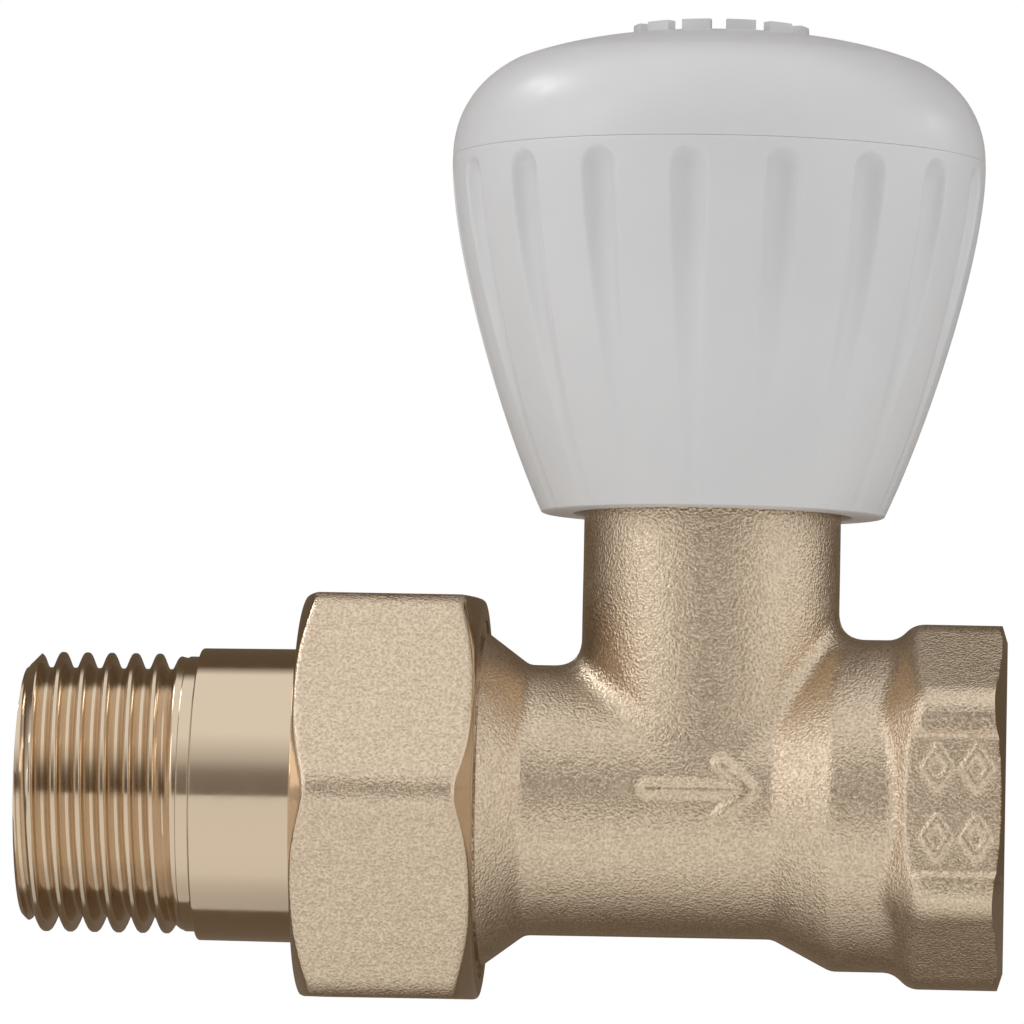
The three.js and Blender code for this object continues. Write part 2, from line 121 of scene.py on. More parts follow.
NUT_HALF_FLATS = NUT_HIGH[2]
NUT_EDGE = 0.5
NUT_CORNER = 16.85  # the six edges are turned down to this radius
NUT_BEVEL = math.radians(30)
NUT_ALLOWANCE = 0.03  # room over the flats for their slow waves
NUT_RIM = NUT_HALF_FLATS - 0.35  # radius where a bevel meets the nut's end face
NUT_BLENDS = {"corner": 0.4, "bevel": 0.35, "end": 0.25}
NUT_WAVES = (4.7, 0.02)
NUT_INSIDE = 13.45  # everything nearer the axis is machined
NUT_SHOULDER = NUT_LOW[0] + 2.4  # where the nut bears on the tailpiece's collar
TAIL_THREAD_END = TAIL_LOW[0] + 12.1

# The wheel head. A flute is cut by a rod of this radius, to its full depth at "full" and above.
FLUTES = {"count": 18, "low": 27.0, "full": 44.0, "high": 47.4, "radius": 1.4, "depth": 0.9}
FLUTE_TURN = -4.4  # degrees from the front to the nearest flute
FLUTE_FADE = 1.1  # how fast the depth goes towards the low end
FLUTE_EDGE = 0.25
SEAM = 0.012  # the gap between the skirt and the dome
MOULD_LINE = {"turn": 8.6, "low": 36.0, "height": 0.05, "width": 0.16}
DASHES = {"count": 12, "inner": 5.7, "outer": 6.6, "half_turn": 0.17}

VOXEL = 0.22  # the grid that a forging is first drawn on
SEGMENTS = 128  # round a turned piece
FINE_SEGMENTS = 256


# ------------------------------------------------------------------ meshes


def put(name, points, faces, material=None):
    """Makes an object from points in millimetres about the valve's centre."""
    mesh = bpy.data.meshes.new(name)
    placed = (np.asarray(points, float) + [CENTRE_X, 0, 0]) * MM
    mesh.from_pydata(placed.tolist(), [], [list(f) for f in faces])
    mesh.update()
    made = bpy.data.objects.new(name, mesh)
    bpy.context.scene.collection.objects.link(made)
    if material is not None:
        mesh.materials.append(material)
    return made


def smooth(made, angle=32):
    """Shades a piece smooth, with hard edges only where the surface turns sharply."""
    made.data.shade_smooth()
    made.data.set_sharp_from_angle(angle=math.radians(angle))
    return made


def combine(made, tools, operation):
    """Cuts or joins the tools into the piece, and removes them."""
    for tool in tools:
        change = made.modifiers.new(operation, "BOOLEAN")
        change.operation = operation
        change.solver = "MANIFOLD"
        change.object = tool
        bpy.context.view_layer.update()
        graph = bpy.context.evaluated_depsgraph_get()
        result = bpy.data.meshes.new_from_object(made.evaluated_get(graph), depsgraph=graph)
        made.modifiers.clear()
        made.data = result
        bpy.data.objects.remove(tool)
    return made


def rounded(points, radius, steps=3):
    """A closed outline with its corners rounded off, each by at most 0.45 of its shorter side."""
    points = np.asarray(points, float)
    made = []
    for i, corner in enumerate(points):
        before, after = points[i - 1] - corner, points[(i + 1) % len(points)] - corner
        shorter = min(np.linalg.norm(before), np.linalg.norm(after))
        reach = min(radius, 0.45 * shorter)
        if corner[0] < 1e-9 or reach < 0.01:
            made.append(corner)
            continue
        start = corner + before / np.linalg.norm(before) * reach
        end = corner + after / np.linalg.norm(after) * reach
        for step in np.linspace(0, 1, steps + 1):
            made.append((1 - step) ** 2 * start + 2 * step * (1 - step) * corner + step**2 * end)
    return np.array(made)


def revolve(outline, segments=SEGMENTS, shape=None, angles=None, along="Z"):
    """Points and faces of a closed (radius, height) outline turned about an axis.

    shape(radius, height, angle) may change the radius round the turn."""
    outline = np.asarray(outline, float)
    if angles is None:
        angles = np.arange(segments) * 2 * math.pi / segments
    radius = np.repeat(outline[:, :1], len(angles), axis=1)
    height = np.repeat(outline[:, 1:], len(angles), axis=1)
    if shape is not None:
        radius = shape(radius, height, np.broadcast_to(angles, radius.shape))
    across, up = radius * np.cos(angles), radius * np.sin(angles)
    grid = np.stack([across, up, height] if along == "Z" else [height, across, up], axis=-1)
    rows, columns = grid.shape[:2]
    index = np.arange(rows * columns).reshape(rows, columns)
    on_axis = outline[:, 0] < 1e-9
    index[on_axis] = index[on_axis, :1]
    faces = []
    for row in range(rows):
        other = (row + 1) % rows
        if on_axis[row] and on_axis[other]:
            continue
        here, there = index[row], index[other]
        ring = np.stack([here, np.roll(here, -1), np.roll(there, -1), there], axis=1).tolist()
        if on_axis[row]:
            ring = [[a, c, d] for a, b, c, d in ring]
        elif on_axis[other]:
            ring = [[a, b, c] for a, b, c, d in ring]
        faces += ring
    used, inverse = np.unique(np.concatenate([np.ravel(f) for f in faces]), return_inverse=True)
    points = grid.reshape(-1, 3)[used]
    renamed, at = [], 0
    for face in faces:
        renamed.append(inverse[at : at + len(face)].tolist())
        at += len(face)
    if volume(points, renamed) < 0:
        renamed = [face[::-1] for face in renamed]
    return points, renamed


def volume(points, faces):
    """The volume that closed faces hold, negative if they face inward."""
    fans = np.array([(f[0], f[i], f[i + 1]) for f in faces for i in range(1, len(f) - 1)])
    a, b, c = (points[fans[:, i]] for i in range(3))
    return np.einsum("ij,ij->i", a, np.cross(b, c)).sum() / 6


def prism(outline, low, high, along="Z"):
    """Points and faces of a closed two-dimensional outline, drawn out along an axis."""
    outline = np.asarray(outline, float)
    count = len(outline)
    ends = [np.column_stack([outline, np.full(count, at)]) for at in (low, high)]
    points = np.vstack(ends)
    faces = [list(range(count)), list(range(count, 2 * count))[::-1]]
    faces += [[i + count, (i + 1) % count + count, (i + 1) % count, i] for i in range(count)]
    if along == "X":
        points = points[:, [2, 0, 1]]
    if volume(points, faces) < 0:
        faces = [face[::-1] for face in faces]
    return points, faces


def polygon(sides, half_flats, turn=0.5):
    """Corners of a regular polygon. turn is in sides: 0.5 puts a flat at angle 0."""
    angles = (np.arange(sides) + turn) * 2 * math.pi / sides
    radius = half_flats / math.cos(math.pi / sides)
    return np.column_stack([radius * np.cos(angles), radius * np.sin(angles)])


# ------------------------------------------------------------------ screw threads


def ridge(turns):
    """A 55 degree thread's height, 0 at the root and 1 at the crest, with both rounded."""
    sawtooth = 2 * np.abs(turns - np.floor(turns) - 0.5)
    flank = np.clip((sawtooth - 0.5) * 1.3, -0.5, 0.5)
    return 0.5 + 0.5 * np.sin(math.pi * flank)


def screw(name, thread, start, end, ends, lead=True, columns=144, phase=0.0, along="X"):
    """A solid right-hand thread from start to end. Its rows of points follow the helix.

    ends are its radii at the two ends. It begins with a 45 degree lead-in and runs out at the
    other end. phase moves the crests along by that share of a turn."""
    major, minor, pitch = thread["major"], thread["minor"], thread["pitch"]
    start, end = round(start, 3), round(end, 3)
    share = np.arange(columns + 1) / columns
    per_turn = 16
    rows = np.arange(-2 * per_turn, math.ceil((end - start) / pitch * per_turn) + 1)[:, None]
    rows = rows / per_turn
    heights = start + (rows + share + phase) * pitch
    radius = minor + (major - minor) * ridge(rows + 0 * share)
    run_out = 0.75 * pitch
    fade = np.clip((heights - end + run_out) / run_out, 0, 1)
    radius = radius + (ends[1] - radius) * fade**2 * (3 - 2 * fade)
    if lead:
        radius = np.minimum(radius, ends[0] + (heights - start))
    radius = np.where(heights <= start, ends[0], np.where(heights >= end, ends[1], radius))
    heights = np.clip(heights, start, end)
    angle = share * 2 * math.pi
    grid = np.stack([heights, radius * np.cos(angle), radius * np.sin(angle)], axis=-1)
    index = np.arange(len(rows) * (columns + 1)).reshape(len(rows), columns + 1)
    corners = [index[:-1, :-1], index[:-1, 1:], index[1:, 1:], index[1:, :-1]]
    quads = np.stack(corners, axis=-1).reshape(-1, 4)
    points = np.round(grid.reshape(-1, 3), 4) + 0.0
    points, place = np.unique(points, axis=0, return_inverse=True)
    place = place.ravel()
    faces = []
    for quad in place[quads]:
        face = [v for i, v in enumerate(quad) if v != quad[i - 1]]
        if len(set(face)) > 2:
            faces.append([int(v) for v in face])
    for height in (start, end):
        ring = np.where(np.abs(points[:, 0] - height) < 1e-6)[0]
        turn = np.arctan2(points[ring, 2], points[ring, 1])
        ring = ring[np.argsort(turn)].tolist()
        faces.append(ring if height == end else ring[::-1])
    if volume(points, faces) < 0:
        faces = [face[::-1] for face in faces]
    return put(name, points if along == "X" else points[:, [1, 2, 0]], faces)


# ------------------------------------------------------------------ forgings


def blend_max(a, b, reach):
    """The larger of two distances, rounded where they meet."""
    share = np.clip(0.5 - 0.5 * (b - a) / reach, 0, 1)
    return b + (a - b) * share + reach * share * (1 - share)


def blend_min(a, b, reach):
    """The smaller of two distances, rounded where they meet."""
    return -blend_max(-a, -b, reach)


def hexagon(y, z, half_flats, flat_at, reach):
    """Distance outside a hexagonal bar with flats at the angle flat_at and every 60 degrees."""
    made = None
    for turn in range(3):
        angle = flat_at + turn * math.pi / 3
        side = np.abs(y * math.cos(angle) + z * math.sin(angle)) - half_flats
        made = side if made is None else blend_max(made, side, reach)
    return made


def unevenness(x, y, z, scale, depth):
    """The slow waves of a forged surface, in three directions."""
    made = 0.0
    for step, (a, b, c) in enumerate([(1.0, 0.7, -0.5), (-0.6, 1.1, 0.8), (0.4, -0.9, 1.2)]):
        made = made + np.sin((a * x + b * y + c * z) / scale * (1 + 0.37 * step) + 1.7 * step)
    return made * depth / 3


def pipe_profile():
    """Heights and radii of the forging's run along the pipe, with its corners eased."""
    corners = [
        (-19.0, CONE_END_RADIUS),
        (-17.7, CONE_END_RADIUS),
        (-13.5, BARREL_RADIUS),
        (5.0, BARREL_RADIUS),
        (9.4, BOSS_RADIUS),
        (24.0, BOSS_RADIUS),
    ]
    at = np.arange(-19, 24, 0.05)
    plain = np.interp(at, *np.array(corners).T)
    window = np.hanning(27)
    eased = np.convolve(np.pad(plain, 13, "edge"), window / window.sum(), "valid")
    return at, eased


RUN_AT, RUN_RADIUS = pipe_profile()
RUN_SLOPE = np.gradient(RUN_RADIUS, RUN_AT)


def stroke(along, up, start, end, half_width):
    """Distance outside a round-ended stroke on the barrel's front."""
    start, end = np.array(start), np.array(end)
    way = end - start
    share = np.clip(((along - start[0]) * way[0] + (up - start[1]) * way[1]) / (way @ way), 0, 1)
    return np.hypot(along - start[0] - share * way[0], up - start[1] - share * way[1]) - half_width


def raised(outside, mark, y):
    """How far a ridged mark on the front stands up, given the distance outside its outline."""
    edge = np.clip(1 + outside / mark["half"], 0, 1)
    return mark["relief"] * (1 - edge**MARK_ROUNDNESS) * (y < FRONT)


def body_forging(x, y, z):
    """Signed distance of the forged body, before any machining."""
    r = np.hypot(y, z)
    slope = np.interp(x, RUN_AT, RUN_SLOPE)
    run = (r - np.interp(x, RUN_AT, RUN_RADIUS)) / np.sqrt(1 + slope**2)
    neck = blend_max(np.hypot(x, y) - NECK_RADIUS, -z, NECK_FOOT)
    neck = np.maximum(neck, z - NECK_TOP - 2)
    off_side = np.clip(np.abs(y) / NECK_RADIUS, 0, 1) ** 2
    solid = blend_min(run, neck, NECK_FILLET * (1 - NECK_FILLET_LOSS * off_side))

    bar = hexagon(y, z, HEX_HALF_FLATS, 0.0, 2 * FORGED_EDGE)
    bar = blend_max(bar, np.abs(z) - HEX_HALF_FLATS, FORGED_EDGE)
    rim = (1 - HEX_ROUND) * (bar + HEX_HALF_FLATS) + HEX_ROUND * r - BOSS_RADIUS
    shoulder = (rim - HEX_SLOPE * (x - HEX_START)) / math.hypot(1, HEX_SLOPE)
    bar = blend_max(bar, shoulder, 0.6 * FORGED_EDGE)

    front = -y - HEX_HALF_FLATS + PANEL["depth"]
    across = np.maximum(PANEL["low"] - x, x - PANEL["high"])
    upward = np.maximum(PANEL["bottom"] - z, z - PANEL["top"])
    window = blend_max(across, upward, PANEL_CORNER)
    recess = blend_max(-front, window, PANEL_EDGE)
    bar = blend_max(bar, -recess, PANEL_EDGE)
    scale = math.hypot(1 / MARKS["across"], 1 / MARKS["up"])
    for row in MARK_ROWS:
        for place in MARK_PLACES:
            outline = np.abs(x - place) / MARKS["across"] + np.abs(z - row) / MARKS["up"] - 1
            bar = bar - raised(np.abs(outline) / scale - MARKS["half"], MARKS, y)
    solid = blend_min(solid, bar, HEX_FILLET)

    half, height = ARROW["half"], ARROW["height"]
    arrow = stroke(x, z, (ARROW["tail"], height), (ARROW_SHAFT_END, height), half)
    for side in (-1, 1):
        wing = (ARROW["tip"] - ARROW["head"], height + side * ARROW_HALF_SPREAD)
        arrow = np.minimum(arrow, stroke(x, z, wing, (ARROW["tip"], height), half))
    solid = solid - raised(arrow, ARROW, y)

    flash = FLASH["height"] * np.exp(-((y / FLASH["width"]) ** 2))
    return solid - flash - unevenness(x, y, z, *BODY_WAVES)


def nut_forging(x, y, z):
    """Signed distance of the union nut's outside."""
    bar = hexagon(y, z, NUT_HALF_FLATS - NUT_ALLOWANCE, math.pi / 2, NUT_EDGE)
    r = np.hypot(y, z)
    bar = blend_max(bar, r - NUT_CORNER, NUT_BLENDS["corner"])
    out = np.abs(x - (NUT_LOW[0] + NUT_HIGH[0]) / 2) - (NUT_HIGH[0] - NUT_LOW[0]) / 2
    cone = (r - NUT_RIM + out / math.tan(NUT_BEVEL)) * math.sin(NUT_BEVEL)
    bar = blend_max(bar, cone, NUT_BLENDS["bevel"])
    bar = blend_max(bar, out, NUT_BLENDS["end"])
    return bar - unevenness(x, y, z, *NUT_WAVES)


def skin(distance, low, high):
    """Points and faces of the surface where distance is zero, drawn on to it in three passes."""
    margin = 3 * VOXEL
    low = np.asarray(low, float) - margin
    counts = np.ceil((np.asarray(high, float) + margin - low) / VOXEL).astype(int)
    axes = [low[i] + VOXEL * np.arange(counts[i]) for i in range(3)]
    x, y, z = np.meshgrid(*axes, indexing="ij", sparse=True)
    field = distance(x, y, z).astype(np.float32)
    grid = openvdb.FloatGrid(margin)
    grid.copyFromArray(np.clip(field, -margin, margin))
    points, triangles, quads = grid.convertToPolygons(0.0, 0.0)
    points = points.astype(float) * VOXEL + low
    step = 0.02
    for _ in range(3):
        here = distance(*points.T)
        slope = np.empty_like(points)
        for i in range(3):
            moved = points.copy()
            moved[:, i] += step
            slope[:, i] = (distance(*moved.T) - here) / step
        length = np.maximum((slope**2).sum(1), 0.25)
        points -= np.clip(here / length, -VOXEL, VOXEL)[:, None] * slope
    faces = triangles.tolist() + quads.tolist()
    if volume(points, faces) < 0:
        faces = [face[::-1] for face in faces]
    return points, faces


def along_and_out(mesh):
    """How far each point of a mesh is along the pipe and from its axis."""
    flat = np.empty(3 * len(mesh.vertices))
    mesh.vertices.foreach_get("co", flat)
    points = flat.reshape(-1, 3) / MM - [CENTRE_X, 0, 0]
    return points[:, 0], np.hypot(points[:, 1], points[:, 2])


def note(made, name, rule):
    """Records from 0 to 1 how far a rule holds at each of a mesh's points, for its material.

    rule takes how far a point is along the pipe and from its axis, and its normal's x."""
    mesh = made.data
    normals = np.empty(3 * len(mesh.vertices))
    mesh.vertices.foreach_get("normal", normals)
    layer = mesh.attributes.new(name, "FLOAT", "POINT")
    holds = rule(*along_and_out(mesh), normals.reshape(-1, 3)[:, 0])
    layer.data.foreach_set("value", holds.astype(np.float32))


def crease(made, x, radius, near=0.02):
    """Keeps a turned circle's shallow edge crisp."""
    mesh = made.data
    along, out = along_and_out(mesh)
    on = (np.abs(along - x) < near) & (np.abs(out - radius) < near)
    ends = np.empty(2 * len(mesh.edges), int)
    mesh.edges.foreach_get("vertices", ends)
    sharp = np.empty(len(mesh.edges), bool)
    mesh.edges.foreach_get("use_edge_sharp", sharp)
    mesh.edges.foreach_set("use_edge_sharp", sharp | on[ends.reshape(-1, 2)].all(axis=1))
    mesh.update()


# ------------------------------------------------------------------ valve body


def body_machined(x, r, normal_x):
    """The hexagon's turned end, everything inside the socket, and the threaded union end."""
    end = SOCKET_FACE - END_BEVEL_SLOPE * np.maximum(r - END_BEVEL_RADIUS, 0)
    in_socket = (x > 8.6) & (r < 11.2)
    return (x > end - 0.02) | in_socket | (x < UNION_THREAD_END - 0.05)


def valve_body():
    """The forging, cut to length, bevelled, threaded and bored."""
    low = (-18.6, -14.2, -14.2)
    high = (SOCKET_FACE + 2, 14.2, NECK_TOP + 2)
    made = put("valve_body_skin", *skin(body_forging, low, high))
    forged_ends = [
        ("left", [(0, -25), (20, -25), (20, -18.0), (0, -18.0)], "X"),
        ("right", [(0, SOCKET_FACE), (20, SOCKET_FACE), (20, 30), (0, 30)], "X"),
        ("top", [(0, NECK_TOP), (20, NECK_TOP), (20, 40), (0, 40)], "Z"),
    ]
    cuts = [put(name, *revolve(line, 64, along=way)) for name, line, way in forged_ends]
    end_bevel = [
        (END_BEVEL_RADIUS, SOCKET_FACE + 1e-3),
        (17, SOCKET_FACE - END_BEVEL_SLOPE * (17 - END_BEVEL_RADIUS)),
        (17, SOCKET_FACE + 1),
        (END_BEVEL_RADIUS, SOCKET_FACE + 1),
    ]
    neck_bevel = [
        (NECK_RADIUS - 0.5, NECK_TOP + 1e-3),
        (NECK_RADIUS + 0.6, NECK_TOP - 1.1),
        (NECK_RADIUS + 2, NECK_TOP + 1),
        (NECK_RADIUS - 0.5, NECK_TOP + 1),
    ]
    nut = NUT_HIGH[0]
    gap = [(12.1, nut - 0.3), (14, nut - 0.3), (14, nut + 0.25), (12.1, nut + 0.12)]
    cuts.append(put("gap_at_nut", *revolve(gap, FINE_SEGMENTS, along="X")))
    cuts.append(put("end_bevel", *revolve(end_bevel, FINE_SEGMENTS, along="X")))
    cuts.append(put("neck_bevel", *revolve(neck_bevel, SEGMENTS)))
    combine(made, cuts, "DIFFERENCE")
    ends = (THREE_QUARTER_INCH["major"] - 1.0, THREE_QUARTER_INCH["minor"] + 0.5)
    union = screw("union_end", THREE_QUARTER_INCH, UNION_END, UNION_THREAD_END, ends)
    combine(made, [union], "UNION")

    low, high = SOCKET_FACE - 12.2, SOCKET_FACE + 0.5
    socket = screw("socket_thread", HALF_INCH_SOCKET, low, high, (9.4, 10.3), lead=False)
    mouth = [
        (0, SOCKET_FACE - 1.5),
        (9.3, SOCKET_FACE - 1.5),
        (10.8, SOCKET_FACE + 1e-3),
        (10.8, SOCKET_FACE + 1),
        (0, SOCKET_FACE + 1),
    ]
    floor = [(0, 8.7), (9.3, 8.7), (9.9, 9.3), (9.9, 10.6), (0, 10.6)]
    seat = [
        (0, UNION_END - 1),
        (10.1, UNION_END - 1),
        (10.1, UNION_END),
        (8.9, UNION_END + 3.8),
        (8.0, UNION_END + 4.4),
        (8.0, -12.5),
        (0, -12.5),
    ]
    cavity = [
        (0, 1.0),
        (7.6, 1.0),
        (7.6, NECK_TOP - 1.5),
        (8.6, NECK_TOP - 1.5),
        (8.6, NECK_TOP + 1),
        (0, NECK_TOP + 1),
    ]
    bores = [
        socket,
        put("mouth", *revolve(mouth, SEGMENTS, along="X")),
        put("socket_floor", *revolve(rounded(floor, 0.3), 96, along="X")),
        put("union_seat", *revolve(seat, 96, along="X")),
        put("cavity", *revolve(rounded(cavity, 0.25), 96)),
        put("seat_way", *revolve([(0, -3.8), (5.0, -3.8), (5.0, 2), (0, 2)], 64)),
    ]
    for low_x, high_x, radius, height in WATER_WAYS:
        way = [(0, low_x), (radius, low_x), (radius, high_x), (0, high_x)]
        points, faces = revolve(rounded(way, 1.2), 64, along="X")
        bores.append(put("way", points + [0, 0, height], faces))
    combine(made, bores, "DIFFERENCE")
    note(made, "machined", body_machined)
    smooth(made, 30)
    crease(made, SOCKET_FACE, END_BEVEL_RADIUS)
    return made


def nut_machined(x, r, normal_x):
    """The turned bevels and faces at the nut's ends, and its bore."""
    ends = np.clip((np.abs(normal_x) - 0.4) / 0.3, 0, 1)
    return np.maximum(ends, r < NUT_INSIDE)


def union_nut():
    made = put("union_nut_skin", *skin(nut_forging, NUT_LOW - 1, NUT_HIGH + 1))
    shoulder, end = NUT_SHOULDER, NUT_HIGH[0] + 1
    thread = screw("nut_thread", NUT_THREAD, shoulder + 1.6, end, (12.4, 13.3), lead=False)
    bore = [
        (0, NUT_LOW[0] - 1),
        (11.95, NUT_LOW[0] - 1),
        (11.95, NUT_LOW[0]),
        (11.3, NUT_LOW[0] + 0.6),
        (11.3, shoulder),
        (13.4, shoulder),
        (13.4, shoulder + 1.9),
        (0, shoulder + 1.9),
    ]
    mouth = [
        (0, NUT_HIGH[0] - 1.0),
        (13.2, NUT_HIGH[0] - 1.0),
        (13.4, NUT_HIGH[0]),
        (13.4, NUT_HIGH[0] + 2),
        (0, NUT_HIGH[0] + 2),
    ]
    cuts = [thread] + [put("bore", *revolve(line, SEGMENTS, along="X")) for line in (bore, mouth)]
    combine(made, cuts, "DIFFERENCE")
    note(made, "machined", nut_machined)
    return smooth(made, 30)


# ------------------------------------------------------------------ tailpiece


def tail_threaded(x, r, normal_x):
    """The tailpiece's thread, and not its bore."""
    return (x < TAIL_THREAD_END) & (r > 8)


def tailpiece():
    tip, nose = TAIL_LOW[0], TAIL_HIGH[0]
    thread_end, collar = TAIL_THREAD_END, tip + 13.1
    turned = rounded(
        [
            (8.6, thread_end - 0.5),
            (8.6, thread_end - 0.02),
            (10.3, thread_end - 0.01),
            (10.3, collar),
            (10.93, collar + 0.02),
            (11.0, NUT_SHOULDER + 0.3),
            (11.8, NUT_SHOULDER + 0.3),
            (11.8, NUT_SHOULDER + 2.3),
            (9.6, NUT_SHOULDER + 2.32),
            (9.2, nose - 2.9),
            (7.95, nose - 2.9),
            (7.95, nose - 1.1),
            (8.85, nose - 1.1),
            (8.5, nose),
        ],
        0.18,
    )
    outline = [(0, thread_end - 0.5), *turned, (0, nose)]
    made = put("tailpiece_turned", *revolve(outline, 144, along="X"))
    thread = screw("thread", HALF_INCH, tip, thread_end, (9.3, 10.2), phase=0.19)
    combine(made, [thread], "UNION")
    bore = [(0, tip + 7.0), (7.2, tip + 7.0), (7.2, -20), (0, -20)]
    mouth = [(0, tip - 1), (7.9, tip - 1), (7.9, tip), (6.3, tip + 1.6), (0, tip + 1.6)]
    cuts = [put("bore", *revolve(line, 96, along="X")) for line in (bore, mouth)]
    cuts.append(put("key", *prism(polygon(6, 6.3), tip - 1, tip + 7.5, along="X")))
    combine(made, cuts, "DIFFERENCE")
    note(made, "threaded", tail_threaded)
    return smooth(made, 30)


# ------------------------------------------------------------------ wheel head


def curve(points, steps):
    """Points on a cubic Bezier curve."""
    a, b, c, d = (np.array(p, float) for p in points)
    t = np.linspace(0, 1, steps + 1)[:, None]
    return (1 - t) ** 3 * a + 3 * (1 - t) ** 2 * t * b + 3 * (1 - t) * t**2 * c + t**3 * d


FLUTE_PITCH = 2 * math.pi / FLUTES["count"]
FLUTE_START = -math.pi / 2 + math.radians(FLUTE_TURN)


def wheel_columns():
    """Angles round the wheel, closer together across each flute than between them."""
    across = np.concatenate([np.linspace(-0.27, 0.27, 27), np.linspace(0.32, 0.68, 6)])
    turns = np.arange(FLUTES["count"])[:, None] + across[None, :]
    return (turns * FLUTE_PITCH).ravel() + FLUTE_START


def fluted(radius, height, angle):
    """Cuts flutes that run out towards the rim, and leaves the mould's two parting lines."""
    turn = (angle - FLUTE_START) / FLUTE_PITCH
    aside = (turn - np.round(turn)) * FLUTE_PITCH * radius
    nose = FLUTES["radius"]
    top = FLUTES["high"] - nose
    share = np.clip((height - FLUTES["low"]) / (FLUTES["full"] - FLUTES["low"]), 0, 1)
    depth = FLUTES["depth"] * share**FLUTE_FADE
    beyond = np.maximum(height - top, 0)
    reach = np.sqrt(np.maximum(nose**2 - beyond**2, 0))
    floor = radius + nose - depth - np.sqrt(np.maximum(reach**2 - aside**2, 0))
    cut = -blend_max(-radius, -floor, FLUTE_EDGE)
    outside = (height > WHEEL_LOW[2] + 0.3) & (height < WHEEL_HIGH[2] - 0.2) & (radius > 12)
    on_skin = outside & (radius > wheel_line(height) - 0.2)
    parting = angle + math.pi / 2 - math.radians(MOULD_LINE["turn"])
    aside = (np.mod(parting + math.pi / 2, math.pi) - math.pi / 2) * radius
    ridge_up = MOULD_LINE["height"] * np.exp(-((aside / MOULD_LINE["width"]) ** 2))
    ridge_up = ridge_up * (height > MOULD_LINE["low"])
    return np.where(on_skin, cut + ridge_up, radius)


SKIRT = curve([(12.85, 21.6), (16.1, 28.6), (19.98, 41.3), (19.98, 47.8)], 108)


def wheel_line(height):
    """The skirt's outside radius, between its flutes."""
    return np.interp(height, SKIRT[:, 1], SKIRT[:, 0])


def handwheel():
    top = WHEEL_HIGH[2]
    low = WHEEL_LOW[2]
    rim = [(10.3, low + 0.2), (10.45, low), (12.35, low), (12.7, low + 0.03)]
    edge = [(19.98, top - 0.04), (19.97, top - 0.01), (19.94, top)]
    inside = curve([(17.6, 45.1), (17.4, 39.6), (14.2, 28.6), (11.4, 23.8)], 16)
    deck = rounded(
        [(18.5, top), (18.5, 46.9), (5.2, 46.9), (5.2, 44.0), (1.7, 44.0), (1.7, 34.9)]
        + [(6.8, 34.9), (6.8, 45.1), (17.6, 45.1)],
        0.35,
    )[3:-3]
    outline = [*rim, *SKIRT, *edge, *deck, *inside, (10.3, 23.2)]
    made = put("handwheel_skirt", *revolve(outline, shape=fluted, angles=wheel_columns()))
    square = prism(polygon(4, 2.9, 0.5 + FLUTE_TURN / 90), 33.9, 42.8)
    combine(made, [put("square", *square)], "DIFFERENCE")
    return smooth(made, 38)


def handwheel_cap():
    low = WHEEL_HIGH[2] + SEAM
    shoulder = curve([(19.96, low + 0.03), (19.98, 51.6), (18.0, 54.1), (15.4, 55.4)], 28)
    crown = curve([(15.4, 55.4), (10.5, 57.3), (5.0, 57.7), (0, 57.7)], 24)
    inner = [(0, 56.2), (5.0, 56.1), (10.5, 55.2), (15.0, 53.4), (17.2, 51.3), (18.0, low + 0.8)]
    skirt = [(16.6, low + 0.8), (16.6, 47.1), (18.05, 47.1), (18.05, low), (19.93, low)]
    outline = [*shoulder, *crown[1:], *inner, *skirt]
    made = put("handwheel_dome", *revolve(outline, 180))
    dashes = []
    for dash in range(DASHES["count"]):
        middle = (dash + 0.5) * 2 * math.pi / DASHES["count"]
        turns = middle + np.linspace(-DASHES["half_turn"], DASHES["half_turn"], 9)
        arc = np.column_stack([np.cos(turns), np.sin(turns)])
        outline = np.vstack([DASHES["outer"] * arc, DASHES["inner"] * arc[::-1]])
        dashes.append(put("dash", *prism(outline, 56.7, CAP_HIGH[2])))
    combine(made, dashes, "UNION")
    return smooth(made, 38)


# ------------------------------------------------------------------ headwork


def lathe(name, outline, edge=0.12, segments=96):
    """A piece turned about Z, with its corners broken."""
    return put(name, *revolve(rounded(outline, edge), segments))


def ring(name, inner, outer, low, high, edge=0.15):
    """A flat ring about Z."""
    return lathe(name, [(inner, low), (outer, low), (outer, high), (inner, high)], edge)


def o_ring(name, radius, section, at_height, along="Z"):
    """A rubber ring, by the radius to the middle of its round section."""
    turns = np.arange(20) * math.pi / 10
    outline = np.column_stack(
        [radius + section * np.cos(turns), at_height + section * np.sin(turns)]
    )
    return smooth(put(name, *revolve(outline, 96, along=along)), 60)


def nut_head(name, half_flats, low, high):
    """A hexagon head about Z with its upper corners turned down."""
    made = put(name, *prism(polygon(6, half_flats), low, high))
    corner = half_flats / math.cos(math.pi / 6)
    drop = (corner - half_flats + 0.15) * 0.55
    blank = [
        (0, low - 1),
        (corner + 0.2, low - 1),
        (corner + 0.2, high - drop),
        (half_flats - 0.15, high),
        (0, high),
    ]
    return combine(made, [lathe("blank", blank, 0.02)], "INTERSECT")


